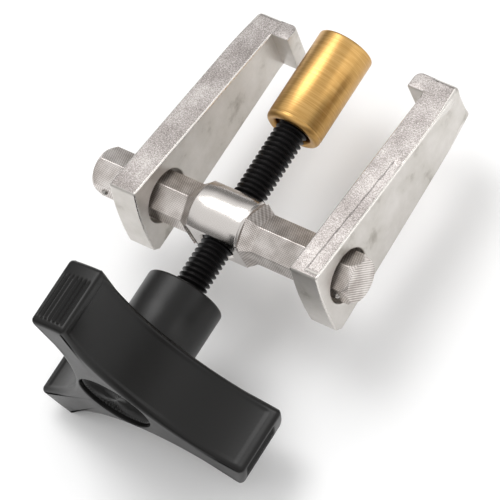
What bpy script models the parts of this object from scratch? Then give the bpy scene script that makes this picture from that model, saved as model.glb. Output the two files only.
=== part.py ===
"""Two-jaw hand puller: a hexagonal crossbar with a threaded boss, two hooked jaws that slide on it,
a screw with a three-lobed knob on top, and a loose brass pressure tip below.

Frame: the origin is the middle of the tip's pressing face, +X runs along the crossbar, +Y points out of
the tip and +Z is up, with the puller lying on its back. The pieces are modelled with the screw upright,
its knob on top, and one parent lays them down.
"""

import math

import bmesh
import bpy
from mathutils import Matrix, Vector

MM = 0.001

# Clearances
SOLID_GAP = 0.3 * MM            # between two pieces that touch or nearly touch
PRESSED_GAP = 0.1 * MM          # round a pin pressed into its hole
SIDES = 48                      # flats on a round piece

# Crossbar
BAR_ACROSS_FLATS = 12.7 * MM    # 1/2 inch hexagonal stock, two flats level
BAR_LENGTH = 88.4 * MM
BAR_HEIGHT = 61.3 * MM          # bar's axis above the pressing face
BAR_END_CHAMFER = 1.6 * MM
BAR_END_RADIUS = 6.2 * MM       # of the turned end face
BOSS_RADIUS = 9.9 * MM
BOSS_LENGTH = 17.4 * MM
BOSS_FLAT = 7.6 * MM            # bar's axis to each spot face
SPOT_FACE_RUN = 0.5 * MM          # spot faces run past each end of the boss
BOSS_RIM = 0.5 * MM             # chamfer on the boss's rims
FLARE_LENGTH = 3.4 * MM         # taper from the boss to the bar
FLARE_RADIUS = 9.7 * MM         # of its corners at the boss

# Retaining pins in the bar's upper flat
PIN_RADIUS = 1.0 * MM
PIN_DEPTH = 4.0 * MM
PIN_STANDS_UP = 0.9 * MM
PIN_FROM_END = 4.0 * MM         # pin's axis to the bar's end face

# Jaws, one each side; a jaw's place is the middle of its thickness. Each hangs loose on the bar, and
# its hook has dropped a little way round it.
JAW_LEFT_X = -26.9 * MM
JAW_RIGHT_X = 35.5 * MM
JAW_LEFT_DROP = math.radians(6.3)
JAW_RIGHT_DROP = math.radians(2.8)
JAW_THICKNESS = 8.9 * MM
JAW_ABOVE_AXIS = 10.2 * MM
JAW_WIDTH_TOP = 27.2 * MM
JAW_WIDTH_FOOT = 13.2 * MM
JAW_EDGE = 0.5 * MM             # rounding of the long edges
HOOK_REACH = 5.6 * MM
HOOK_HEIGHT = 5.7 * MM
HOOK_NOSE_RADIUS = 2.2 * MM
HOOK_HEEL_RADIUS = 1.8 * MM
JAW_BORE_CLEARANCE = 0.77 * MM  # round the bar's corners
JAW_BORE_CHAMFER = 0.5 * MM

# Screw, 3/8 inch with 16 threads to the inch, drawn at its crest
SCREW_RADIUS = 4.7 * MM
SCREW_BORE_CLEARANCE = SOLID_GAP
NECK_RADIUS = 3.4 * MM
NECK_HEIGHT = 3.0 * MM
NOSE_RADIUS = 4.5 * MM
NOSE_HEIGHT = 5.9 * MM
SCREW_HEAD_ACROSS_FLATS = 14.3 * MM
SCREW_HEAD_HEIGHT = 6.0 * MM

# Pressure tip
TIP_RADIUS = 8.5 * MM
TIP_LENGTH = 29.6 * MM
TIP_EDGE_LOW = 0.6 * MM
TIP_EDGE_HIGH = 1.1 * MM
TIP_FLOOR = 6.5 * MM            # solid end below the bore
TIP_BORE_CLEARANCE = 1.0 * MM   # round the screw's crest
BALL_RADIUS = 3.0 * MM
RING_THICKNESS = 1.4 * MM
RING_GRIP = 0.4 * MM            # ring's reach into the tip's wall

# Knob
KNOB_LOBES = 3
KNOB_RADIUS = 41.2 * MM
KNOB_THICKNESS = 20.8 * MM
KNOB_TOP = 121.8 * MM           # outer face above the pressing face
KNOB_WAIST = 13.0 * MM          # nearest point of a hollow side to the axis
LOBE_HALF_ANGLE = math.radians(8.7)
LOBE_DIRECTION = math.radians(99.3)
KNOB_EDGE = 1.2 * MM
HUB_RADIUS = 11.7 * MM
HUB_HEIGHT = 16.15 * MM         # below the lobes
RECESS_RADIUS = 11.4 * MM
CAP_SETBACK = 1.2 * MM
CAP_THICKNESS = 2.0 * MM

# Worked out from the sizes above
BAR_CORNER = BAR_ACROSS_FLATS / math.sqrt(3)
JAW_BORE_RADIUS = BAR_CORNER + JAW_BORE_CLEARANCE
SCREW_HOLE_RADIUS = SCREW_RADIUS + SCREW_BORE_CLEARANCE
TIP_BORE_RADIUS = SCREW_RADIUS + TIP_BORE_CLEARANCE
BALL_CENTRE = TIP_FLOOR + SOLID_GAP + BALL_RADIUS
NOSE_FOOT = BALL_CENTRE + 0.25 * BALL_RADIUS
NECK_FOOT = NOSE_FOOT + NOSE_HEIGHT
NECK_TOP = NECK_FOOT + NECK_HEIGHT
RING_CENTRE = (NECK_FOOT + NECK_TOP) / 2
RING_INNER = NECK_RADIUS + SOLID_GAP
RING_OUTER = TIP_BORE_RADIUS + RING_GRIP
CAP_TOP = KNOB_TOP - CAP_SETBACK
CAP_FOOT = CAP_TOP - CAP_THICKNESS
HEAD_TOP = CAP_FOOT - 2 * SOLID_GAP
HEAD_FOOT = HEAD_TOP - SCREW_HEAD_HEIGHT
KNOB_FOOT = KNOB_TOP - KNOB_THICKNESS
HUB_FOOT = KNOB_FOOT - HUB_HEIGHT
PIN_X = BAR_LENGTH / 2 - PIN_FROM_END


# --- small tools -----------------------------------------------------------------------------------

def clear_scene():
    for old in list(bpy.data.objects):
        bpy.data.objects.remove(old, do_unlink=True)


def material(name, colour, roughness, metallic):
    made = bpy.data.materials.new(name)
    made.use_nodes = True
    shader = made.node_tree.nodes["Principled BSDF"]
    shader.inputs["Base Color"].default_value = (*colour, 1.0)
    shader.inputs["Roughness"].default_value = roughness
    shader.inputs["Metallic"].default_value = metallic
    return made


def add_object(name, bm, finish=None, sharp=math.radians(30)):
    bmesh.ops.recalc_face_normals(bm, faces=bm.faces)
    mesh = bpy.data.meshes.new(name)
    bm.to_mesh(mesh)
    bm.free()
    mesh.shade_smooth()
    mesh.set_sharp_from_angle(angle=sharp)
    made = bpy.data.objects.new(name, mesh)
    bpy.context.scene.collection.objects.link(made)
    if finish is not None:
        mesh.materials.append(finish)
    return made


def hide(tool):
    """A cutter or an added shape isn't a piece of the puller."""
    tool.hide_render = True
    tool.display_type = 'WIRE'
    return tool


def combine(target, tool, operation):
    step = target.modifiers.new(operation.lower() + "_" + tool.name, 'BOOLEAN')
    step.operation = operation
    step.object = hide(tool)


def turned(profile, axis='Z', sides=SIDES):
    """Solid of revolution. profile holds (radius, place along the axis) pairs, and is closed round
    the outline; pairs of radius 0 lie on the axis."""
    bm = bmesh.new()
    rings = []
    for radius, place in profile:
        if radius == 0:
            rings.append([bm.verts.new((0, 0, place))])
            continue
        ring = []
        for i in range(sides):
            angle = 2 * math.pi * i / sides
            ring.append(bm.verts.new((radius * math.cos(angle), radius * math.sin(angle), place)))
        rings.append(ring)
    for low, high in zip(rings, rings[1:] + rings[:1]):
        if len(low) == 1 and len(high) == 1:
            continue
        for i in range(sides):
            j = (i + 1) % sides
            corners = [low[i % len(low)], low[j % len(low)], high[j % len(high)], high[i % len(high)]]
            bm.faces.new(list(dict.fromkeys(corners)))
    if axis == 'X':
        bmesh.ops.transform(bm, matrix=Matrix.Rotation(math.pi / 2, 4, 'Y'), verts=bm.verts)
    return bm


def prism(outline, low, high):
    """outline's (x, y) points carried from z = low to z = high."""
    bm = bmesh.new()
    foot = [bm.verts.new((x, y, low)) for x, y in outline]
    top = [bm.verts.new((x, y, high)) for x, y in outline]
    bm.faces.new(foot[::-1])
    bm.faces.new(top)
    for i in range(len(outline)):
        j = (i + 1) % len(outline)
        bm.faces.new((foot[i], foot[j], top[j], top[i]))
    return bm


def hexagon(corner_radius, turn=0.0):
    points = []
    for i in range(6):
        angle = turn + i * math.pi / 3
        points.append((corner_radius * math.cos(angle), corner_radius * math.sin(angle)))
    return points


def arc(centre, radius, start, stop, steps):
    points = []
    for i in range(steps + 1):
        angle = start + (stop - start) * i / steps
        points.append((centre[0] + radius * math.cos(angle), centre[1] + radius * math.sin(angle)))
    return points


# --- crossbar --------------------------------------------------------------------------------------

def hexagonal_taper(sections):
    """Hexagonal bar along X through (place, corner radius) sections, with its flats facing up and down."""
    bm = bmesh.new()
    rings = []
    for place, radius in sections:
        rings.append([bm.verts.new((place, y, z)) for y, z in hexagon(radius)])
    bm.faces.new(rings[0])
    bm.faces.new(rings[-1])
    for first, second in zip(rings, rings[1:]):
        for i in range(6):
            j = (i + 1) % 6
            bm.faces.new((first[i], first[j], second[j], second[i]))
    return bm


def make_crossbar(finish):
    end = BAR_LENGTH / 2
    boss_end = BOSS_LENGTH / 2
    flare_end = boss_end + FLARE_LENGTH
    bar = add_object("crossbar", hexagonal_taper([
        (-end, BAR_CORNER), (-flare_end, BAR_CORNER), (-boss_end + BOSS_RIM, FLARE_RADIUS),
        (boss_end - BOSS_RIM, FLARE_RADIUS), (flare_end, BAR_CORNER), (end, BAR_CORNER)]), finish)
    bar.location.z = BAR_HEIGHT

    envelope_radius = 2 * BAR_CORNER
    shoulder = end - BAR_END_CHAMFER
    steep_end = end - BAR_END_CHAMFER * (envelope_radius - BAR_END_RADIUS) / (BAR_CORNER - BAR_END_RADIUS)
    envelope = add_object("turned_ends", turned([
        (0, -end), (BAR_END_RADIUS, -end), (BAR_CORNER, -shoulder), (envelope_radius, -steep_end),
        (envelope_radius, steep_end), (BAR_CORNER, shoulder), (BAR_END_RADIUS, end), (0, end)], axis='X'))
    envelope.location.z = BAR_HEIGHT
    combine(bar, envelope, 'INTERSECT')

    boss = add_object("boss", turned([
        (0, -boss_end), (BOSS_RADIUS - BOSS_RIM, -boss_end), (BOSS_RADIUS, -boss_end + BOSS_RIM),
        (BOSS_RADIUS, boss_end - BOSS_RIM), (BOSS_RADIUS - BOSS_RIM, boss_end), (0, boss_end)],
        axis='X', sides=2 * SIDES))
    boss.location.z = BAR_HEIGHT
    combine(bar, boss, 'UNION')

    for side, name in ((-1, "lower"), (1, "upper")):
        face_end = boss_end + SPOT_FACE_RUN
        face = [(-face_end, -BOSS_RADIUS), (face_end, -BOSS_RADIUS),
                (face_end, BOSS_RADIUS), (-face_end, BOSS_RADIUS)]
        low, high = sorted((side * BOSS_FLAT, side * 2 * BOSS_RADIUS))
        spot_face = add_object(name + "_spot_face", prism(face, low, high))
        spot_face.location.z = BAR_HEIGHT
        combine(bar, spot_face, 'DIFFERENCE')

    hole = add_object("screw_hole", turned([
        (0, -2 * BOSS_RADIUS), (SCREW_HOLE_RADIUS, -2 * BOSS_RADIUS),
        (SCREW_HOLE_RADIUS, 2 * BOSS_RADIUS), (0, 2 * BOSS_RADIUS)]))
    hole.location.z = BAR_HEIGHT
    combine(bar, hole, 'DIFFERENCE')

    flat = BAR_HEIGHT + BAR_ACROSS_FLATS / 2
    for side, name in ((-1, "left"), (1, "right")):
        radius = PIN_RADIUS + PRESSED_GAP
        floor = flat - PIN_DEPTH - SOLID_GAP
        pin_hole = add_object(name + "_pin_hole", turned([
            (0, floor), (radius, floor), (radius, flat + PIN_DEPTH), (0, flat + PIN_DEPTH)], sides=24))
        pin_hole.location.x = side * PIN_X
        combine(bar, pin_hole, 'DIFFERENCE')
    return bar


def make_pin(name, side, finish):
    """Round-ended pin pressed into the bar's upper flat."""
    flat = BAR_HEIGHT + BAR_ACROSS_FLATS / 2
    foot = flat - PIN_DEPTH
    shoulder = flat + PIN_STANDS_UP - PIN_RADIUS
    dome = [(PIN_RADIUS * math.cos(a), shoulder + PIN_RADIUS * math.sin(a))
            for a in (0, math.pi / 8, math.pi / 4, 3 * math.pi / 8)]
    pin = add_object(name, turned([(0, foot), (PIN_RADIUS, foot), *dome, (0, shoulder + PIN_RADIUS)],
                                  sides=24), finish)
    pin.location.x = side * PIN_X
    return pin


# --- jaws ------------------------------------------------------------------------------------------

def jaw_profile(outward):
    """Outline across the jaw's thickness, as (x, z) from the point where its bore's axis is."""
    half = JAW_THICKNESS / 2
    tip = -half - HOOK_REACH
    nose = arc((tip + HOOK_NOSE_RADIUS, HOOK_NOSE_RADIUS), HOOK_NOSE_RADIUS, math.pi, 1.5 * math.pi, 6)
    heel = arc((half - HOOK_HEEL_RADIUS, HOOK_HEEL_RADIUS), HOOK_HEEL_RADIUS, 1.5 * math.pi, 2 * math.pi, 5)
    top = BAR_HEIGHT + JAW_ABOVE_AXIS
    points = [(-half, top), (-half, HOOK_HEIGHT), (tip, HOOK_HEIGHT), *nose, *heel, (half, top)]
    return [(outward * x, z - BAR_HEIGHT) for x, z in points]


def make_jaw(name, x, drop, finish):
    """Flat arm with a hook at its foot. Its width tapers evenly from top to foot, and a round bore
    runs on the bar's corners."""
    outward = math.copysign(1.0, x)
    top = BAR_HEIGHT + JAW_ABOVE_AXIS
    bm = bmesh.new()
    near = []
    far = []
    for u, z in jaw_profile(outward):
        share = (z + BAR_HEIGHT) / top
        half_width = (JAW_WIDTH_FOOT + (JAW_WIDTH_TOP - JAW_WIDTH_FOOT) * share) / 2
        near.append(bm.verts.new((u, -half_width, z)))
        far.append(bm.verts.new((u, half_width, z)))
    bm.faces.new(near)
    bm.faces.new(far[::-1])
    for i in range(len(near)):
        j = (i + 1) % len(near)
        bm.faces.new((near[i], far[i], far[j], near[j]))
    jaw = add_object(name, bm, finish)
    jaw.location = (x, 0, BAR_HEIGHT)
    jaw.rotation_euler.x = -drop
    edges = jaw.modifiers.new("edges", 'BEVEL')
    edges.width = JAW_EDGE
    edges.segments = 2
    edges.limit_method = 'ANGLE'
    edges.angle_limit = math.radians(40)

    face = JAW_THICKNESS / 2
    mouth = JAW_BORE_RADIUS + 2 * JAW_BORE_CHAMFER
    bore = add_object(name + "_bore", turned([
        (0, -face - JAW_BORE_CHAMFER), (mouth, -face - JAW_BORE_CHAMFER),
        (JAW_BORE_RADIUS, -face + JAW_BORE_CHAMFER), (JAW_BORE_RADIUS, face - JAW_BORE_CHAMFER),
        (mouth, face + JAW_BORE_CHAMFER), (0, face + JAW_BORE_CHAMFER)], axis='X'))
    bore.location = (x, 0, BAR_HEIGHT)
    combine(jaw, bore, 'DIFFERENCE')
    return jaw


# --- screw -----------------------------------------------------------------------------------------

def make_spindle(finish):
    """Screw with a hexagonal head moulded into the knob, and a neck and a nose inside the tip."""
    cup = BALL_RADIUS + SOLID_GAP
    rim = math.sqrt(cup ** 2 - (NOSE_FOOT - BALL_CENTRE) ** 2)
    start = math.atan2(NOSE_FOOT - BALL_CENTRE, rim)
    seat = [(cup * math.cos(a), BALL_CENTRE + cup * math.sin(a))
            for a in [start + (math.pi / 2 - start) * i / 6 for i in range(6)]]
    outline = [(0, BALL_CENTRE + cup), *seat[::-1], (NOSE_RADIUS, NOSE_FOOT), (NOSE_RADIUS, NECK_FOOT),
               (NECK_RADIUS, NECK_FOOT), (NECK_RADIUS, NECK_TOP), (SCREW_RADIUS, NECK_TOP),
               (SCREW_RADIUS, HEAD_FOOT + SOLID_GAP), (0, HEAD_FOOT + SOLID_GAP)]
    spindle = add_object("spindle", turned(outline), finish)
    head = add_object("spindle_head",
                      prism(hexagon(SCREW_HEAD_ACROSS_FLATS / math.sqrt(3)), HEAD_FOOT, HEAD_TOP))
    combine(spindle, head, 'UNION')
    return spindle


def make_tip(finish):
    """Brass sleeve with a blind bore, and a groove in the bore for the ring."""
    groove = RING_OUTER + SOLID_GAP
    low = RING_CENTRE - RING_THICKNESS / 2 - SOLID_GAP
    high = RING_CENTRE + RING_THICKNESS / 2 + SOLID_GAP
    return add_object("pressure_tip", turned([
        (0, 0), (TIP_RADIUS - TIP_EDGE_LOW, 0), (TIP_RADIUS, TIP_EDGE_LOW),
        (TIP_RADIUS, TIP_LENGTH - TIP_EDGE_HIGH), (TIP_RADIUS - TIP_EDGE_HIGH, TIP_LENGTH),
        (TIP_BORE_RADIUS, TIP_LENGTH), (TIP_BORE_RADIUS, high), (groove, high), (groove, low),
        (TIP_BORE_RADIUS, low), (TIP_BORE_RADIUS, TIP_FLOOR), (0, TIP_FLOOR)]), finish)


def make_ball(finish):
    steps = 10
    outline = []
    for i in range(steps + 1):
        angle = math.pi * i / steps - math.pi / 2
        radius = 0 if i in (0, steps) else BALL_RADIUS * math.cos(angle)
        outline.append((radius, BALL_CENTRE + BALL_RADIUS * math.sin(angle)))
    return add_object("thrust_ball", turned(outline, sides=24), finish)


def make_ring(finish):
    low = RING_CENTRE - RING_THICKNESS / 2
    high = RING_CENTRE + RING_THICKNESS / 2
    return add_object("retaining_ring",
                      turned([(RING_INNER, low), (RING_OUTER, low), (RING_OUTER, high),
                              (RING_INNER, high)]), finish)


# --- knob ------------------------------------------------------------------------------------------

def knob_outline():
    """Lobe ends are arcs about the screw's axis. Each hollow side is one arc from lobe to lobe, which
    passes the axis at the waist."""
    step = 2 * math.pi / KNOB_LOBES
    half_side = step / 2 - LOBE_HALF_ANGLE
    distance = ((KNOB_RADIUS ** 2 - KNOB_WAIST ** 2)
                / (2 * (KNOB_RADIUS * math.cos(half_side) - KNOB_WAIST)))
    side_radius = distance - KNOB_WAIST
    reach = math.asin(KNOB_RADIUS * math.sin(half_side) / side_radius)
    points = []
    for i in range(KNOB_LOBES):
        lobe = LOBE_DIRECTION + i * step
        points += arc((0, 0), KNOB_RADIUS, lobe - LOBE_HALF_ANGLE, lobe + LOBE_HALF_ANGLE, 4)
        middle = lobe + step / 2
        centre = (distance * math.cos(middle), distance * math.sin(middle))
        facing = middle + math.pi
        points += arc(centre, side_radius, facing + reach, facing - reach, 20)[1:-1]
    return points


def make_knob(finish):
    knob = add_object("knob", prism(knob_outline(), KNOB_FOOT, KNOB_TOP), finish)
    edges = knob.modifiers.new("edges", 'BEVEL')
    edges.width = KNOB_EDGE
    edges.segments = 2
    edges.limit_method = 'ANGLE'
    edges.angle_limit = math.radians(40)

    edge = KNOB_EDGE / 2
    hub = add_object("hub", turned([
        (0, HUB_FOOT), (HUB_RADIUS - edge, HUB_FOOT), (HUB_RADIUS, HUB_FOOT + edge),
        (HUB_RADIUS, KNOB_FOOT + KNOB_EDGE), (0, KNOB_FOOT + KNOB_EDGE)]))
    combine(knob, hub, 'UNION')

    shank = add_object("shank_hole", turned([
        (0, HUB_FOOT - SOLID_GAP), (SCREW_HOLE_RADIUS, HUB_FOOT - SOLID_GAP),
        (SCREW_HOLE_RADIUS, HEAD_TOP), (0, HEAD_TOP)]))
    combine(knob, shank, 'DIFFERENCE')
    pocket_radius = SCREW_HEAD_ACROSS_FLATS / math.sqrt(3) + 2 * SOLID_GAP
    pocket = add_object("head_pocket", prism(hexagon(pocket_radius), HEAD_FOOT - SOLID_GAP, CAP_TOP))
    combine(knob, pocket, 'DIFFERENCE')
    recess = add_object("cap_recess", turned([
        (0, CAP_FOOT - SOLID_GAP), (RECESS_RADIUS, CAP_FOOT - SOLID_GAP),
        (RECESS_RADIUS, KNOB_TOP + CAP_SETBACK), (0, KNOB_TOP + CAP_SETBACK)]))
    combine(knob, recess, 'DIFFERENCE')
    return knob


def make_cap(finish):
    radius = RECESS_RADIUS - SOLID_GAP
    return add_object("knob_cap",
                      turned([(0, CAP_FOOT), (radius, CAP_FOOT), (radius, CAP_TOP), (0, CAP_TOP)]), finish)


# --- assembly --------------------------------------------------------------------------------------

def main():
    clear_scene()
    machined = material("machined_steel", (0.60, 0.58, 0.56), 0.32, 1.0)
    cast = material("plated_casting", (0.52, 0.50, 0.48), 0.50, 1.0)
    black_oxide = material("black_oxide_steel", (0.012, 0.012, 0.012), 0.42, 0.6)
    brass = material("turned_brass", (0.62, 0.42, 0.16), 0.28, 1.0)
    spring = material("spring_steel", (0.35, 0.35, 0.36), 0.30, 1.0)
    plastic = material("black_plastic", (0.014, 0.014, 0.014), 0.38, 0.0)

    make_crossbar(machined)
    make_pin("stop_pin_left", -1, spring)
    make_pin("stop_pin_right", 1, spring)
    make_jaw("jaw_left", JAW_LEFT_X, JAW_LEFT_DROP, cast)
    make_jaw("jaw_right", JAW_RIGHT_X, JAW_RIGHT_DROP, cast)
    make_spindle(black_oxide)
    make_tip(brass)
    make_ball(spring)
    make_ring(spring)
    make_knob(plastic)
    make_cap(plastic)

    puller = bpy.data.objects.new("puller", None)
    puller.rotation_euler.x = math.pi / 2
    bpy.context.scene.collection.objects.link(puller)
    for piece in bpy.context.scene.objects:
        if piece != puller:
            piece.parent = puller


main()
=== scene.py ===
"""Two-jaw hand puller, lying on its back on a pale floor.

Sizes are in millimetres. Shapes are worked out with the screw upright: x runs along the crossbar,
y out of the puller's front and z up the screw from the brass tip's face, and lay() puts them down.
"""

import math

import bmesh
import bpy
import numpy as np
from mathutils import Matrix, Vector


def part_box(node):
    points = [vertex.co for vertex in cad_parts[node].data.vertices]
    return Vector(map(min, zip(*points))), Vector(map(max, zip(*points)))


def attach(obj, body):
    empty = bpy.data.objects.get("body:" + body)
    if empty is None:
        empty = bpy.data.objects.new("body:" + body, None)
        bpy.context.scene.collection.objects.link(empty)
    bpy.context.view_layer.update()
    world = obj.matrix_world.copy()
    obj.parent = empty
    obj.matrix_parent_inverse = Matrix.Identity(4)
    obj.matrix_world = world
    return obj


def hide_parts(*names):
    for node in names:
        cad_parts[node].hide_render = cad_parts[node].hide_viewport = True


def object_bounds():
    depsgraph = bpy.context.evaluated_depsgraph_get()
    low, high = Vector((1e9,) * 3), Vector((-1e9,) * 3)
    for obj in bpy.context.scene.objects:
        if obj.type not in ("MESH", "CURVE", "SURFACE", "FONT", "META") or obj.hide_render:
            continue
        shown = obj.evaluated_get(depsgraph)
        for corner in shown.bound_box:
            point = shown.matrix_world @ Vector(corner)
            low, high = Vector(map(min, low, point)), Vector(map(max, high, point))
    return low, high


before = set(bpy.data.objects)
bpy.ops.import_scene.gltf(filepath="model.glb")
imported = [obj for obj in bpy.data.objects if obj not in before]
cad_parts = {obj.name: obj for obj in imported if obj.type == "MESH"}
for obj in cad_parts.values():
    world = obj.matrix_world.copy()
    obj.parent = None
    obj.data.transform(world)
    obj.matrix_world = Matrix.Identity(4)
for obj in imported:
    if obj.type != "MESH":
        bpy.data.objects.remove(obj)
cad_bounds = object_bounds()


# --- Crossbar ---------------------------------------------------------------------------------------
# A length of 1/2 inch hexagonal steel, turned down and chamfered at its ends, with a polished round
# boss in the middle. The boss has a flat milled above and below, where the screw goes through it.

BAR_HEIGHT = 61.3           # axis of the bar above the tip's face
BAR_ACROSS_FLATS = 12.7
BAR_CORNER = BAR_ACROSS_FLATS / math.sqrt(3)
BAR_END = 44.2              # half the bar's length
BAR_END_RADIUS = 6.2        # at the outer edge of the turned cone
BAR_CHAMFER = 1.6
BOSS_END = 8.7              # half the boss's length
BOSS_RADIUS = 9.9
BOSS_FLAT = 7.6             # spot faces, above and below the axis
SPOT_FACE_END = 9.2         # they run a little past the boss
FLARE_FOOT = 12.1           # where the hexagon starts to grow towards the boss
FLARE_TOP = 8.7
FLARE_RADIUS = 9.7


def linear(hex_colour):
    """An sRGB hex colour as linear red, green, blue and alpha."""
    parts = [int(hex_colour[i:i + 2], 16) / 255 for i in (0, 2, 4)]
    return (*[p / 12.92 if p < 0.04045 else ((p + 0.055) / 1.055) ** 2.4 for p in parts], 1.0)


def node(tree, kind, settings=None, **links):
    """Adds one node. settings are its own properties, and each link is a socket or a value for the
    input of that name, with _ for a space, or of that number after in_."""
    made = tree.nodes.new(kind)
    for name, value in (settings or {}).items():
        setattr(made, name, value)
    for name, value in links.items():
        key = int(name[3:]) if name.startswith("in_") else name.replace("_", " ")
        if isinstance(value, bpy.types.NodeSocket):
            tree.links.new(value, made.inputs[key])
        else:
            made.inputs[key].default_value = value
    return made


def finish(name, colour, roughness, metallic=1.0):
    """A material with its shader. Returns the material, its tree, its shader and the coordinates."""
    made = bpy.data.materials.new(name)
    made.use_nodes = True
    tree = made.node_tree
    shader = tree.nodes["Principled BSDF"]
    shader.inputs["Base Color"].default_value = linear(colour)
    shader.inputs["Roughness"].default_value = roughness
    shader.inputs["Metallic"].default_value = metallic
    place = tree.nodes.new("ShaderNodeTexCoord").outputs["Object"]
    return made, tree, shader, place


def ramp(tree, value, stops):
    """A colour ramp through (position, hex colour) stops, read at value."""
    made = node(tree, "ShaderNodeValToRGB", Fac=value)
    elements = made.color_ramp.elements
    for _ in range(len(stops) - 2):
        elements.new(0.5)
    for element, (position, colour) in zip(elements, stops):
        element.position = position
        element.color = linear(colour)
    return made.outputs["Color"]


def lay(x, y, z):
    """Upright x, y, z in millimetres to the lying puller: its screw runs along -Y and its front is up."""
    x, y, z = np.broadcast_arrays(x, y, z)
    return np.stack([x, -z, y], axis=-1)


def surface(name, grids, finishes, body, sharp=35):
    """A mesh from grids of points, each (points, closed, slot): rows of points, whose ends are joined
    if closed, with quads between neighbours. Points that meet are merged, which closes seams and
    poles, and the faces are turned outwards."""
    points, faces, slots, first = [], [], [], 0
    for grid, closed, slot in grids:
        rows, columns = grid.shape[:2]
        row = np.arange(rows - 1)[:, None]
        column = np.arange(columns if closed else columns - 1)[None, :]
        beside = (column + 1) % columns
        low, high = row * columns, (row + 1) * columns
        quads = np.stack([low + column, low + beside, high + beside, high + column], axis=-1)
        faces.append(quads.reshape(-1, 4) + first)
        slots.append(np.full(len(faces[-1]), slot))
        points.append(grid.reshape(-1, 3))
        first += rows * columns
    mesh = bpy.data.meshes.new(name)
    mesh.from_pydata((np.concatenate(points) * 0.001).tolist(), [], np.concatenate(faces).tolist())
    for made in finishes:
        mesh.materials.append(made)
    mesh.polygons.foreach_set("material_index", np.concatenate(slots).astype(np.int32))
    tidy = bmesh.new()
    tidy.from_mesh(mesh)
    bmesh.ops.remove_doubles(tidy, verts=tidy.verts, dist=2e-6)
    bmesh.ops.recalc_face_normals(tidy, faces=tidy.faces)
    tidy.to_mesh(mesh)
    tidy.free()
    mesh.shade_smooth()
    mesh.set_sharp_from_angle(angle=math.radians(sharp))
    piece = bpy.data.objects.new(name, mesh)
    bpy.context.scene.collection.objects.link(piece)
    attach(piece, body)
    return piece


def around_bar(x, radius, angle):
    """Points at a radius and an angle round the bar's axis, 0 facing the front and 90 degrees up."""
    return lay(x, radius * np.cos(angle), BAR_HEIGHT + radius * np.sin(angle))


# Machined steel under bright nickel plate: near white, satin, with the fine crossed marks of a
# face mill.
MILL_MARK = 0.55            # spacing of the marks
milled, tree, shader, place = finish("milled_nickel_plated_steel", "d3ccc6", 0.34)
split = node(tree, "ShaderNodeSeparateXYZ", Vector=place)
upward = node(tree, "ShaderNodeMath", {"operation": 'MULTIPLY'}, in_0=split.outputs["Z"], in_1=0.8)
around = node(tree, "ShaderNodeMath", {"operation": 'MULTIPLY_ADD'}, in_0=split.outputs["Y"], in_1=1.15,
              in_2=upward.outputs[0])
waves = []
for start, lean in ((split.outputs["X"], 35), (around.outputs[0], 55)):
    phase = node(tree, "ShaderNodeMath", {"operation": 'MULTIPLY'}, in_0=start,
                 in_1=2 * math.pi * 1000 / MILL_MARK * math.cos(math.radians(lean)))
    waves.append(node(tree, "ShaderNodeMath", {"operation": 'SINE'}, in_0=phase.outputs[0]).outputs[0])
marks = node(tree, "ShaderNodeMath", {"operation": 'MULTIPLY'}, in_0=waves[0], in_1=waves[1])
stain = node(tree, "ShaderNodeTexNoise", Vector=place, Scale=220.0, Detail=3.0)
tone = node(tree, "ShaderNodeMath", {"operation": 'MULTIPLY_ADD'}, in_0=marks.outputs[0], in_1=0.3,
            in_2=stain.outputs["Fac"])
tree.links.new(ramp(tree, tone.outputs[0], [(0.2, "a09892"), (0.5, "cdc5c0"), (0.8, "ece7e3")]),
               shader.inputs["Base Color"])
bump = node(tree, "ShaderNodeBump", Height=marks.outputs[0], Strength=0.28, Distance=0.00006)
tree.links.new(bump.outputs[0], shader.inputs["Normal"])

# The boss is turned and polished after plating, so it mirrors its surroundings in soft bands along
# the bar, and only hair-fine rings are left from the turning.
polished, tree, shader, place = finish("polished_nickel_plated_steel", "cfcac6", 0.2)
stretch = node(tree, "ShaderNodeMapping", Vector=place, Scale=(9000.0, 60.0, 60.0))
rings = node(tree, "ShaderNodeTexNoise", Vector=stretch.outputs[0], Scale=1.0, Detail=2.0)
wear = node(tree, "ShaderNodeMapRange", Value=rings.outputs["Fac"], To_Min=0.14, To_Max=0.27)
tree.links.new(wear.outputs[0], shader.inputs["Roughness"])
bump = node(tree, "ShaderNodeBump", Height=rings.outputs["Fac"], Strength=0.12, Distance=0.00002)
tree.links.new(bump.outputs[0], shader.inputs["Normal"])

# Each half of the bar: at every place along it the section is the hexagon, cut down at the end by
# the turned cone, and grown towards the boss by the flare.
facet = np.radians([-30, -29.2, -28, -26, -22, -15, -7, 0, 7, 15, 22, 26, 28, 29.2])
angle = (np.radians(30 + 60 * np.arange(6))[:, None] + facet[None, :]).reshape(-1)
hexagon = np.minimum(BAR_ACROSS_FLATS / 2 / np.cos(np.tile(facet, 6)), BAR_CORNER - 0.04)
halves = []
for side in (-1, 1):
    place_x = np.array([BAR_END, BAR_END, 43.9, 43.5, 43.1, 42.7, 42.4, 40.0, 34.0, 28.0, 22.0, 16.0,
                        12.3, 11.9, 10.5, SPOT_FACE_END + 0.02, SPOT_FACE_END, 8.3, 8.3])
    cone = BAR_END_RADIUS + (BAR_END - place_x) * (BAR_CORNER - BAR_END_RADIUS) / BAR_CHAMFER
    flare = np.clip((FLARE_FOOT - place_x) / (FLARE_FOOT - FLARE_TOP), 0, 1)
    grown = 1 + flare * (FLARE_RADIUS / BAR_CORNER - 1)
    radius = np.minimum(hexagon[None, :] * grown[:, None], np.maximum(cone, BAR_END_RADIUS)[:, None])
    under_flat = np.minimum(radius, BOSS_FLAT / np.maximum(np.abs(np.sin(angle)), 1e-6)[None, :])
    radius = np.where(place_x[:, None] < SPOT_FACE_END + 0.01, under_flat, radius)
    radius[0] = 0
    radius[-1] = 0
    halves.append((around_bar(side * place_x[:, None], radius, angle[None, :]), True, 0))
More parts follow.
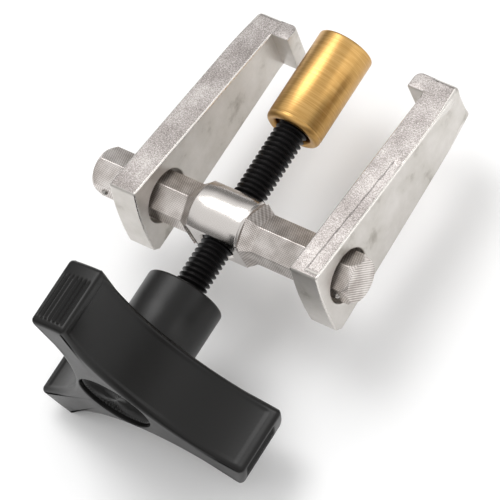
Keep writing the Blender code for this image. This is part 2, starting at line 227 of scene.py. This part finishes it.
bar = surface("hexagonal_bar", halves, [milled], "crossbar", sharp=14)

# The boss: a cylinder with bright chamfered rims, cut by two flats.
flat_edge = math.asin(BOSS_FLAT / BOSS_RADIUS)
edges = np.array([flat_edge, math.pi - flat_edge, math.pi + flat_edge, 2 * math.pi - flat_edge])
angle = np.sort(np.concatenate([np.linspace(0, 2 * math.pi, 192, endpoint=False), edges]))
half_length = BOSS_END - np.array([0, 0, 0.15, 0.5, 0.8, 4.7])
place_x = np.concatenate([-half_length, [0], half_length[::-1]])
half_round = BOSS_RADIUS - np.array([BOSS_RADIUS, 0.55, 0.45, 0.08, 0, 0])
round_part = np.concatenate([half_round, [BOSS_RADIUS], half_round[::-1]])
cut = BOSS_FLAT / np.maximum(np.abs(np.sin(angle)), 1e-6)
radius = np.minimum(round_part[:, None], cut[None, :])
boss = surface("polished_boss", [(around_bar(place_x[:, None], radius, angle[None, :]), True, 0)],
               [polished], "crossbar", sharp=25)


def turned(profile, sides=128):
    """A profile of (radius, height) pairs carried round the screw's axis."""
    radius, height = np.array(profile, dtype=float).T
    angle = np.linspace(0, 2 * math.pi, sides, endpoint=False)
    return lay(radius[:, None] * np.cos(angle), radius[:, None] * np.sin(angle), height[:, None])


# The screw's hole, countersunk at both flats.
low, high = BAR_HEIGHT - BOSS_FLAT, BAR_HEIGHT + BOSS_FLAT
drill = surface("drill", [(turned([(0, low - 2), (7.6, low - 2), (5.0, low + 0.6), (5.0, high - 0.6),
                                   (7.6, high + 2), (0, high + 2)]), True, 0)], [polished], "crossbar")
drilled = boss.modifiers.new("drilled", 'BOOLEAN')
drilled.operation = 'DIFFERENCE'
drilled.object = drill
evaluated = boss.evaluated_get(bpy.context.evaluated_depsgraph_get())
boss_mesh = bpy.data.meshes.new_from_object(evaluated)
boss.modifiers.clear()
boss.data = boss_mesh
boss_mesh.set_sharp_from_angle(angle=math.radians(25))
bpy.data.objects.remove(drill, do_unlink=True)
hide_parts("crossbar")
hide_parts("crossbar")


# --- Stop pins --------------------------------------------------------------------------------------
# A small round-ended steel pin is pressed into the bar near each end. It marks where a jaw should
# stop before it slides off. Hardened and ground, so it's a darker and smoother grey than the bar.

ground_steel, tree, shader, place = finish("ground_hardened_steel", "a9a6a2", 0.24)
scuff = node(tree, "ShaderNodeTexNoise", Vector=place, Scale=1500.0, Detail=3.0)
wear = node(tree, "ShaderNodeMapRange", Value=scuff.outputs["Fac"], To_Min=0.18, To_Max=0.36)
tree.links.new(wear.outputs[0], shader.inputs["Roughness"])
for name in ("stop_pin_left", "stop_pin_right", "thrust_ball", "retaining_ring"):
    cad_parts[name].data.materials.clear()
    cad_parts[name].data.materials.append(ground_steel)


# --- Jaws -------------------------------------------------------------------------------------------
# Each jaw is a steel casting under dull nickel plate: a flat arm with a round bore for the bar and a
# hook at its foot. The broad faces are smooth with faint stains, and the narrow front and back
# strips keep the grain of the ground casting. It hangs loose on the bar, a few degrees off square.

JAW_THICKNESS = 8.9
JAW_TOP = 10.2              # above the bar's axis
JAW_FOOT = 61.3             # below it
JAW_HALF_TOP = 13.6
JAW_HALF_FOOT = 6.6
JAW_BORE = 8.1
JAW_EDGE = 0.45             # rounding of the edges between faces and strips
JAW_HEEL = 2.4              # how much more there is at the outer edge of the foot
HOOK_REACH = 5.6
HOOK_HEIGHT = 5.7
HOOK_OVERLAP = 0.7          # how far inside the arm the hook starts
HOOK_NOSE = 2.2
HOOK_EDGE = 0.5

plated, tree, shader, place = finish("dull_nickel_plated_casting", "c8c4bd", 0.4)
stain = node(tree, "ShaderNodeTexNoise", Vector=place, Scale=95.0, Detail=5.0, Roughness=0.6)
tree.links.new(ramp(tree, stain.outputs["Fac"], [(0.26, "a39d95"), (0.42, "cfcbc5"), (0.72, "dedad6")]),
               shader.inputs["Base Color"])
dull = node(tree, "ShaderNodeMapRange", Value=stain.outputs["Fac"], To_Min=0.52, To_Max=0.34)
tree.links.new(dull.outputs[0], shader.inputs["Roughness"])
skin = node(tree, "ShaderNodeTexNoise", Vector=place, Scale=420.0, Detail=6.0)
bump = node(tree, "ShaderNodeBump", Height=skin.outputs["Fac"], Strength=0.25, Distance=0.00025)
tree.links.new(bump.outputs[0], shader.inputs["Normal"])

# The strips are a duller, darker grey than the broad faces, speckled with fine pits.
GRAIN = 0.3                 # size of the pits
grained, tree, shader, place = finish("ground_nickel_plated_casting", "bdb8b1", 0.42)
pits = node(tree, "ShaderNodeTexNoise", Vector=place, Scale=1000 / GRAIN, Detail=2.0)
stain = node(tree, "ShaderNodeTexNoise", Vector=place, Scale=120.0, Detail=4.0)
tone = node(tree, "ShaderNodeMath", {"operation": 'MULTIPLY_ADD'}, in_0=stain.outputs["Fac"], in_1=0.5,
            in_2=pits.outputs["Fac"])
tree.links.new(ramp(tree, tone.outputs[0], [(0.55, "77716e"), (0.75, "9b9592"), (0.95, "bfbab7")]),
               shader.inputs["Base Color"])
bump = node(tree, "ShaderNodeBump", Height=pits.outputs["Fac"], Strength=0.3, Distance=0.0002)
tree.links.new(bump.outputs[0], shader.inputs["Normal"])

# The edges between faces and strips were dressed bright.
dressed, tree, shader, place = finish("bright_dressed_edge", "d9d5d0", 0.25)
nick = node(tree, "ShaderNodeTexNoise", Vector=place, Scale=900.0, Detail=3.0)
wear = node(tree, "ShaderNodeMapRange", Value=nick.outputs["Fac"], To_Min=0.14, To_Max=0.38)
tree.links.new(wear.outputs[0], shader.inputs["Roughness"])


def jaw_edge(angle, inset):
    """Distance from the bore's centre to the arm's outline in each direction: the nearest of its two
    sloping sides, its foot, the arc of its top and four corner cuts, all moved in by inset."""
    across, up = np.cos(angle), np.sin(angle)
    run, rise = JAW_HALF_TOP - JAW_HALF_FOOT, JAW_TOP + JAW_FOOT
    length = math.hypot(run, rise)
    side_x, side_z = rise / length, -run / length
    side = side_x * JAW_HALF_TOP + side_z * JAW_TOP
    found = np.full_like(angle, 1e3)
    planes = [(side_x, side_z, side), (-side_x, side_z, side), (0, -1, JAW_FOOT)]
    for mirror in (-1, 1):
        for corner_x, corner_z, lean in ((JAW_HALF_TOP, JAW_TOP, 1), (JAW_HALF_FOOT, -JAW_FOOT, -1)):
            normal = np.array([mirror * 0.7071, lean * 0.7071])
            planes.append((*normal, normal @ np.array([mirror * corner_x, corner_z]) - 0.4))
    for normal_x, normal_z, distance in planes:
        facing = normal_x * across + normal_z * up
        reached = (distance - inset) / np.maximum(facing, 1e-6)
        found = np.where(facing > 1e-6, np.minimum(found, reached), found)
    centre = np.array([-5.0, JAW_TOP + 1.6 - 100.0])
    along = across * centre[0] + up * centre[1]
    top = along + np.sqrt(np.maximum(along ** 2 + (100.0 - inset) ** 2 - centre @ centre, 0))
    return np.minimum(found, top)


def quarter(start, stop, count=6):
    """Angles from start to stop in degrees, as radians, in even steps."""
    return np.linspace(math.radians(start), math.radians(stop), count)


def ease(value, start, stop):
    """0 before start, 1 after stop, and smooth between."""
    t = np.clip((value - start) / (stop - start), 0, 1)
    return t * t * (3 - 2 * t)


def make_jaw(name, side, drop, step_depth, node_name):
    """The arm: rings round the bore's axis, from the bore out to the outline on each broad face, with
    the strip between them. The hook: its outline carried across the arm's foot."""
    low, high = np.array(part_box(node_name)) * 1000
    outer = side * max(abs(low[0]), abs(high[0]))
    inner = outer - side * JAW_THICKNESS

    # Directions that give even steps along the outline, so the long sides and the foot are as fine.
    fine = np.linspace(0, 2 * math.pi, 7200, endpoint=False)
    reach = jaw_edge(fine, 0)
    walk = np.cumsum(np.hypot(np.diff(reach * np.cos(fine), append=reach[0]),
                              np.diff(reach * np.sin(fine), append=0)))
    angle = np.interp(np.linspace(0, walk[-1], 360, endpoint=False), walk, fine)
    at_foot = np.exp(-((angle - 1.5 * math.pi) / 0.12) ** 4)

    def turn(x, distance):
        """Points at a distance from the bore's axis, dropped round the bar."""
        y, z = distance * np.cos(angle), distance * np.sin(angle)
        return lay(x, y * math.cos(drop) + z * math.sin(drop),
                   BAR_HEIGHT - y * math.sin(drop) + z * math.cos(drop))

    # The casting's heel is well rounded, and its inner edge runs out where the hook grows from it.
    height = jaw_edge(angle, 0) * np.sin(angle)
    heel = JAW_EDGE + JAW_HEEL * at_foot
    brow = 0.02 + (JAW_EDGE - 0.02) * ease(height, HOOK_HEIGHT - JAW_FOOT, HOOK_HEIGHT - JAW_FOOT + 0.8)
    mouth = 0.5
    rows_outer, rows_inner = [], []
    for face, edge, rows in ((outer, heel, rows_outer), (inner, brow, rows_inner)):
        into = math.copysign(1, (outer + inner) / 2 - face)
        for a in quarter(0, 90):
            x = face + into * mouth * (1 - math.sin(a))
            rows.append(turn(x, JAW_BORE + mouth * (1 - math.cos(a))))
        start = JAW_BORE + mouth
        stop = jaw_edge(angle, edge)
        for share in np.linspace(0, 1, 12)[1:]:
            rows.append(turn(face, start + (stop - start) * share))
    into = math.copysign(1, inner - outer)
    outer_edge = [turn(outer + into * heel * (1 - math.cos(a)), jaw_edge(angle, heel * (1 - math.sin(a))))
                  for a in quarter(0, 90)]
    inner_edge = [turn(inner - into * brow * (1 - math.cos(a)), jaw_edge(angle, brow * (1 - math.sin(a))))
                  for a in quarter(90, 0)]
    # Grinding left a shallow step along the right jaw's front strip, from near its top to a little
    # past its middle. The left jaw has none.
    strip = []
    for share in np.linspace(0, 1, 30):
        x = outer + into * (heel + (JAW_THICKNESS - brow - heel) * share)
        line = share * JAW_THICKNESS - 3.9 - 0.045 * (height + 8)
        stepped = (1 - ease(line, -0.1, 0.1)) * ease(height, -33.2, -32.6)
        stepped = stepped * ease(JAW_TOP - height, 1.2, 2.2) * (np.cos(angle) > 0)
        strip.append(turn(x, jaw_edge(angle, step_depth * stepped * ease(share, 0.01, 0.03))))
    bore = [rows_outer[0], rows_inner[0]]

    # The hook: a block across the arm's foot, rounded at its nose, that grows out of the inner face.
    foot, seat = -JAW_FOOT, -JAW_FOOT + HOOK_HEIGHT
    tip = inner - side * HOOK_REACH
    back = inner + side * HOOK_OVERLAP
    outline = [(back, foot + 0.06), (back, seat - 0.3), (back, seat), (tip + side * 0.4, seat),
               (tip + side * 0.12, seat - 0.12), (tip, seat - 0.4)]
    outline += [(tip + side * HOOK_NOSE * (1 - math.cos(a)), foot + HOOK_NOSE * (1 - math.sin(a)))
                for a in quarter(0, 90, 9)]
    outline = np.array(outline)
    middle = np.array([(tip + back) / 2, (foot + seat) / 2])
    half = np.abs(outline - middle).max(axis=0)
    raised = (outline[:, 1] + JAW_FOOT) / (JAW_TOP + JAW_FOOT)
    width = JAW_HALF_FOOT + (JAW_HALF_TOP - JAW_HALF_FOOT) * raised
    # The end inside the arm is a little smaller, so that no two faces lie in one plane.
    width -= 0.06 * (outline[:, 0] == back)
    hook = []
    for end, sweep in ((-1, quarter(0, 90)), (1, quarter(90, 0))):
        ring = []
        for a in sweep:
            shape = middle + (outline - middle) * (1 - HOOK_EDGE * (1 - math.sin(a)) / half)
            ring.append((shape[:, 0], end * (width - HOOK_EDGE * (1 - math.cos(a))), shape[:, 1]))
        pole = (np.full(len(outline), middle[0]), np.full(len(outline), end * width.mean()),
                np.full(len(outline), middle[1]))
        hook += [pole] + ring if end < 0 else ring + [pole]
    hook_rows = [lay(x, y * math.cos(drop) + z * math.sin(drop),
                     BAR_HEIGHT - y * math.sin(drop) + z * math.cos(drop)) for x, y, z in hook]

    jaw = surface(name, [(np.array(rows_outer), True, 0), (np.array(outer_edge), True, 2),
                         (np.array(strip), True, 1), (np.array(inner_edge), True, 2),
                         (np.array(rows_inner), True, 0), (np.array(bore), True, 0),
                         (np.array(hook_rows), True, 0)], [plated, grained, dressed], node_name, sharp=32)
    # Only the long strips and the hook's front are ground. The two ends and the heel are as cast.
    for face in jaw.data.polygons:
        if face.material_index == 1 and abs(face.normal.y) > 0.35:
            face.material_index = 0
        elif face.material_index == 2 and face.center.y > -0.004:
            face.material_index = 0
        elif face.material_index == 0 and face.normal.z > 0.8 and face.center.y > -0.012:
            face.material_index = 1
    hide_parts(node_name)


make_jaw("cast_jaw_left", -1, math.radians(6.3), 0.0, "jaw_left")
make_jaw("cast_jaw_right", 1, math.radians(2.8), 0.3, "jaw_right")


# --- Screw ------------------------------------------------------------------------------------------
# A 3/8 inch coarse screw, 16 threads to the inch, rolled and then blackened in hot oxide. The black
# is slightly oily, so crests catch a narrow grey light and the roots stay dark.

PITCH = 25.4 / 16
CREST = 4.7
ROOT = 3.72
THREAD_LOW = 19.6           # the helix runs out at both ends
THREAD_HIGH = 112.0

blackened, tree, shader, place = finish("black_oxide_steel", "1b1a1a", 0.36, 0.75)
oil = node(tree, "ShaderNodeTexNoise", Vector=place, Scale=600.0, Detail=4.0)
wear = node(tree, "ShaderNodeMapRange", Value=oil.outputs["Fac"], To_Min=0.26, To_Max=0.48)
tree.links.new(wear.outputs[0], shader.inputs["Roughness"])
bump = node(tree, "ShaderNodeBump", Height=oil.outputs["Fac"], Strength=0.15, Distance=0.0001)
tree.links.new(bump.outputs[0], shader.inputs["Normal"])

# One turn's section, as (share of the pitch, radius): crest, flank, root, flank. It is carried along
# the helix, and each turn's last point is the next turn's first.
section = np.array([(0.0, CREST - 0.06), (0.05, CREST), (0.13, CREST), (0.18, CREST - 0.06),
                    (0.50, ROOT + 0.08), (0.56, ROOT), (0.62, ROOT), (0.68, ROOT + 0.08),
                    (1.0, CREST - 0.06)])
turns = int((THREAD_HIGH - THREAD_LOW) / PITCH)
around = np.linspace(0, 2 * math.pi * turns, 40 * turns + 1)[:, None]
height = THREAD_LOW + PITCH * (around / (2 * math.pi) + section[None, :, 0])
fade = np.clip((height - THREAD_LOW) / PITCH, 0, 1)
fade = fade * np.clip((THREAD_HIGH + PITCH - height) / PITCH, 0, 1)
radius = ROOT + (section[None, :, 1] - ROOT) * fade
thread = lay(radius * np.cos(around), radius * np.sin(around), height)
ends = turned([(0, 13.2), (2.0, 13.0), (3.2, 11.2), (4.3, 10.6), (4.5, 10.9), (4.5, 16.2), (4.3, 16.45),
               (3.4, 16.45), (3.4, 19.4), (ROOT, THREAD_LOW), (ROOT - 0.02, THREAD_HIGH),
               (8.0, 111.8), (8.0, 117.6), (0, 117.6)], sides=64)
screw = surface("threaded_spindle", [(thread, False, 0), (ends, True, 0)], [blackened], "screw", sharp=50)
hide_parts("spindle")


# --- Knob -------------------------------------------------------------------------------------------
# One moulding of black nylon: a round hub and three lobes with hollow sides. The mould left a raised
# border round each side face and gripping ribs on the lobes' ends.

KNOB_RADIUS = 41.2
KNOB_TOP = 121.8
KNOB_FOOT = 101.0
KNOB_EDGE = 1.5             # rounding of the lobes' edges
KNOB_CORNER = 4.4           # length over which the outline is averaged
RECESS_RADIUS = 11.4
RECESS_FLOOR = 118.2
HUB_RADIUS = 11.7
HUB_FOOT = 84.85
HOLE_RADIUS = 5.0           # for the screw
HOLE_END = 99.0
RIB_SPACING = 1.5
RIB_DEPTH = 0.7
WAIST = 13.0
LOBE_HALF = math.radians(8.7)
LOBE_DIRECTION = math.radians(99.3)

# Black with a soft sheen that is duller in patches, and a very fine grain.
moulded, tree, shader, place = finish("moulded_black_nylon", "0e0d0c", 0.33, 0.0)
shader.inputs["Specular IOR Level"].default_value = 0.3
swirl = node(tree, "ShaderNodeTexNoise", Vector=place, Scale=75.0, Detail=4.0)
wear = node(tree, "ShaderNodeMapRange", Value=swirl.outputs["Fac"], To_Min=0.26, To_Max=0.44)
tree.links.new(wear.outputs[0], shader.inputs["Roughness"])
grain = node(tree, "ShaderNodeTexNoise", Vector=place, Scale=1600.0, Detail=3.0)
bump = node(tree, "ShaderNodeBump", Height=grain.outputs["Fac"], Strength=0.12, Distance=0.0001)
tree.links.new(bump.outputs[0], shader.inputs["Normal"])

# The outline, lobe by lobe: an arc about the screw for the lobe's end, then one arc for the hollow
# side. Its corners are rounded by averaging it over a short length.
step = 2 * math.pi / 3
half_side = step / 2 - LOBE_HALF
distance = (KNOB_RADIUS ** 2 - WAIST ** 2) / (2 * (KNOB_RADIUS * math.cos(half_side) - WAIST))
side_radius = distance - WAIST
sweep = math.asin(KNOB_RADIUS * math.sin(half_side) / side_radius)
track = []
for i in range(3):
    lobe = LOBE_DIRECTION + i * step
    around = np.linspace(lobe - LOBE_HALF, lobe + LOBE_HALF, 400)
    track.append(KNOB_RADIUS * np.stack([np.cos(around), np.sin(around)], axis=-1))
    middle = lobe + step / 2
    facing = middle + math.pi + np.linspace(sweep, -sweep, 1600)
    centre = distance * np.array([math.cos(middle), math.sin(middle)])
    track.append(centre + side_radius * np.stack([np.cos(facing), np.sin(facing)], axis=-1))
track = np.concatenate(track)
walk = np.concatenate([[0], np.cumsum(np.hypot(*np.diff(track, axis=0, append=track[:1]).T))])
even = np.linspace(0, walk[-1], 6000, endpoint=False)
loop = np.concatenate([track, track[:1]])
outline = np.stack([np.interp(even, walk, loop[:, k]) for k in (0, 1)], axis=-1)
window = np.hanning(int(KNOB_CORNER / (walk[-1] / 6000)))
window /= window.sum()
wide = np.concatenate([outline[-200:], outline, outline[:200]])
outline = np.stack([np.convolve(wide[:, k], window, mode='same')[200:-200] for k in (0, 1)], axis=-1)
angle = np.unwrap(np.arctan2(outline[:, 1], outline[:, 0]))
off_lobe = (angle - LOBE_DIRECTION + step / 2) % step - step / 2
beside = np.abs(np.sin(off_lobe) * np.hypot(*outline.T))
at_end = (np.abs(off_lobe) < 0.3) & (np.hypot(*outline.T) > KNOB_RADIUS - 2.5)
keep = np.flatnonzero(np.where(at_end, np.arange(6000) % 5 == 0, np.arange(6000) % 16 == 0))
outline, off_lobe, beside, at_end = outline[keep], off_lobe[keep], beside[keep], at_end[keep]
tangent = np.roll(outline, -1, axis=0) - np.roll(outline, 1, axis=0)
normal = np.stack([tangent[:, 1], -tangent[:, 0]], axis=-1) / np.hypot(*tangent.T)[:, None]
ray = outline / np.hypot(*outline.T)[:, None]


def knob_row(points, height):
    """One row of the knob: points of its plan, all at one height."""
    return lay(points[:, 0], points[:, 1], height)


# From the recess's middle out over the knob's face, down its sides, in under it and down the hub.
rows = [knob_row(ray * 0.0, RECESS_FLOOR), knob_row(ray * RECESS_RADIUS, RECESS_FLOOR),
        knob_row(ray * RECESS_RADIUS, KNOB_TOP - 0.4)]
rows += [knob_row(ray * (RECESS_RADIUS + 0.35 * (1 - math.cos(a))), KNOB_TOP - 0.35 * (1 - math.sin(a)))
         for a in quarter(15, 90, 4)]
rim = ray * (RECESS_RADIUS + 0.35)
shoulder = outline - normal * KNOB_EDGE
for share in np.linspace(0, 1, 8)[1:-1]:
    rows.append(knob_row(rim + (shoulder - rim) * share, KNOB_TOP))
for a in quarter(0, 90, 7):
    rows.append(knob_row(outline - normal * KNOB_EDGE * (1 - math.sin(a)),
                         KNOB_TOP - KNOB_EDGE * (1 - math.cos(a))))
ribs = 0.5 + 0.5 * np.cos(2 * math.pi * off_lobe * KNOB_RADIUS / RIB_SPACING)
from_end = KNOB_RADIUS - np.hypot(*outline.T)
for height in np.linspace(KNOB_TOP - KNOB_EDGE, KNOB_FOOT + KNOB_EDGE, 46)[1:-1]:
    inside = ease(height, KNOB_FOOT + 4.2, KNOB_FOOT + 5.4) * ease(KNOB_TOP - height, 1.9, 2.6)
    panel = ease(height, KNOB_FOOT + 1.7, KNOB_FOOT + 2.1) * ease(KNOB_TOP - height, 1.7, 2.1)
    depth = np.where(at_end, RIB_DEPTH * ribs * inside * (1 - ease(beside, 4.0, 5.0)),
                     0.16 * panel * ease(from_end, 2.8, 3.4))
    rows.append(knob_row(outline - normal * depth[:, None], height))
for a in quarter(90, 0, 7):
    rows.append(knob_row(outline - normal * KNOB_EDGE * (1 - math.sin(a)),
                         KNOB_FOOT + KNOB_EDGE * (1 - math.cos(a))))
for share in np.linspace(1, 0, 8)[1:]:
    rows.append(knob_row(rim + (shoulder - rim) * share, KNOB_FOOT))
rows += [knob_row(ray * HUB_RADIUS, KNOB_FOOT - 0.1), knob_row(ray * HUB_RADIUS, 93.0)]
rows += [knob_row(ray * (HUB_RADIUS - 0.8 * (1 - math.cos(a))), HUB_FOOT + 0.8 * (1 - math.sin(a)))
         for a in quarter(0, 90, 6)]
rows += [knob_row(ray * (HOLE_RADIUS + 0.3), HUB_FOOT), knob_row(ray * HOLE_RADIUS, HUB_FOOT + 0.3),
         knob_row(ray * HOLE_RADIUS, HOLE_END), knob_row(ray * 0.0, HOLE_END)]
knob = surface("moulded_knob", [(np.array(rows), True, 0)], [moulded], "screw", sharp=40)
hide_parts("knob")

# The disc that closes the knob: pressed in, with fine ribs that fan out from a small plain middle.
CAP_RADIUS = 11.1
CAP_TOP = 120.6
CAP_FOOT = 118.6
CAP_RIB = 0.35
around = np.linspace(0, 2 * math.pi, 360, endpoint=False)
reach = np.array([0, 2.0, 4.5, 5.0, 5.4, 7.0, 9.0, 10.4, 10.8, CAP_RADIUS])
ribbed = np.array([0, 0.2, 1, 1, 1, 1, 1, 1, 0.3, 0.0])
lift = np.array([0.0, 0, 0, 0, -0.15, -0.15, -0.15, -0.15, 0, 0])
fan = 0.5 + 0.5 * np.cos(60 * around)
cap_height = CAP_TOP + lift[:, None] - CAP_RIB * ribbed[:, None] * fan[None, :]
cap_height = np.concatenate([cap_height, np.full((2, 360), CAP_FOOT)])
reach = np.concatenate([reach, [CAP_RADIUS, 0]])[:, None]
cap_rows = lay(reach * np.cos(around), reach * np.sin(around), cap_height)
cap = surface("ribbed_cap", [(cap_rows, True, 0)], [moulded], "screw", sharp=30)
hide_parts("knob_cap")


# --- Pressure tip -----------------------------------------------------------------------------------
# A sleeve turned from brass bar, free to turn on the end of the screw so that it doesn't mark the
# part it pushes on. The lathe left fine rings, and a band is turned at its open end.

# Warm yellow satin with fine rings round it, and browner and paler streaks along the rings.
BRASS_RING = 0.35           # spacing of the rings
brass, tree, shader, place = finish("turned_brass", "c9a263", 0.34)
split = node(tree, "ShaderNodeSeparateXYZ", Vector=place)
phase = node(tree, "ShaderNodeMath", {"operation": 'MULTIPLY'}, in_0=split.outputs["Y"],
             in_1=2 * math.pi * 1000 / BRASS_RING)
feed = node(tree, "ShaderNodeMath", {"operation": 'SINE'}, in_0=phase.outputs[0])
stretch = node(tree, "ShaderNodeMapping", Vector=place, Scale=(120.0, 2600.0, 120.0))
streak = node(tree, "ShaderNodeTexNoise", Vector=stretch.outputs[0], Scale=1.0, Detail=3.0)
height = node(tree, "ShaderNodeMath", {"operation": 'MULTIPLY_ADD'}, in_0=feed.outputs[0], in_1=0.3,
              in_2=streak.outputs["Fac"])
tree.links.new(ramp(tree, streak.outputs["Fac"], [(0.3, "b88e52"), (0.5, "c2995c"), (0.75, "cfa86c")]),
               shader.inputs["Base Color"])
bump = node(tree, "ShaderNodeBump", Height=height.outputs[0], Strength=0.06, Distance=0.00003)
tree.links.new(bump.outputs[0], shader.inputs["Normal"])
sleeve = turned([(0, 0.02), (4.0, 0.0), (7.9, 0.0), (8.2, 0.1), (8.42, 0.32), (8.5, 0.65), (8.5, 15.0),
                 (8.5, 27.4), (8.42, 27.55), (8.34, 27.7), (8.34, 27.9), (8.42, 28.05), (8.45, 28.3),
                 (8.3, 28.8), (8.0, 29.25), (7.5, 29.55), (7.1, 29.6), (6.4, 29.6), (6.1, 29.4),
                 (5.75, 28.9), (5.7, 28.5), (5.7, 18.4), (5.7, 6.5), (0, 6.5)], sides=160)
tip = surface("brass_sleeve", [(sleeve, True, 0)], [brass], "tip", sharp=40)
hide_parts("pressure_tip")


# --- Studio -----------------------------------------------------------------------------------------
# A pale floor under the lowest lobe, a large soft light above, a smaller one beside, and a long lens.

lowest = cad_bounds[0][2]
floor_mesh = bpy.data.meshes.new("floor")
corners = [(-3, -3, lowest), (3, -3, lowest), (3, 3, lowest), (-3, 3, lowest)]
floor_mesh.from_pydata(corners, [], [(0, 1, 2, 3)])
floor = bpy.data.objects.new("floor", floor_mesh)
bpy.context.scene.collection.objects.link(floor)
pale, tree, shader, place = finish("pale_floor", "fbfbfb", 0.8, 0.0)
floor_mesh.materials.append(pale)

# The studio is bright overhead and darker towards its walls, which draws soft bands on the metal.
world = bpy.data.worlds.new("studio")
bpy.context.scene.world = world
world.use_nodes = True
tree = world.node_tree
way = tree.nodes.new("ShaderNodeTexCoord").outputs["Generated"]
height = node(tree, "ShaderNodeSeparateXYZ", Vector=way)
shade = ramp(tree, height.outputs["Z"], [(0.0, "8c8c8c"), (0.3, "8c8b8a"), (0.52, "fdfdfd"), (1.0, "ffffff")])
tree.links.new(shade, tree.nodes["Background"].inputs["Color"])
tree.nodes["Background"].inputs["Strength"].default_value = 1.0
bpy.context.scene.view_settings.view_transform = 'Standard'

# Where the screw crosses the bar, and the camera's right, up and back.
crossing = Vector((0, -BAR_HEIGHT * 0.001, 0))
right = Vector((0.79709, 0.5243, -0.2996)).normalized()
up = Vector((-0.35369, 0.80748, 0.4721)).normalized()
back = right.cross(up)


def softbox(name, aside, above, towards, width, height, power):
    """A soft light at a place given along the camera's right, up and back, facing the crossbar."""
    light = bpy.data.lights.new(name, 'AREA')
    light.shape = 'RECTANGLE'
    light.size = width
    light.size_y = height
    light.energy = power
    lamp = bpy.data.objects.new(name, light)
    away = right * aside + up * above + back * towards
    lamp.location = crossing + away
    lamp.rotation_euler = away.to_track_quat('Z', 'Y').to_euler()
    bpy.context.scene.collection.objects.link(lamp)


softbox("key", -0.35, 0.75, 0.45, 0.5, 0.5, 3.5)
softbox("side", 0.8, 0.2, 0.5, 0.35, 0.7, 1.2)

# It stands about 1.14 m from the crossbar.
camera = bpy.data.cameras.new("camera")
camera.sensor_width = 36.0
camera.lens = 298.6
camera.clip_start = 0.05
camera.clip_end = 20.0
eye = bpy.data.objects.new("camera", camera)
position = crossing + Vector((0.5658, -0.3119, 0.9423))
eye.matrix_world = Matrix(((right.x, up.x, back.x, position.x), (right.y, up.y, back.y, position.y),
                           (right.z, up.z, back.z, position.z), (0, 0, 0, 1)))
bpy.context.scene.collection.objects.link(eye)
bpy.context.scene.camera = eye
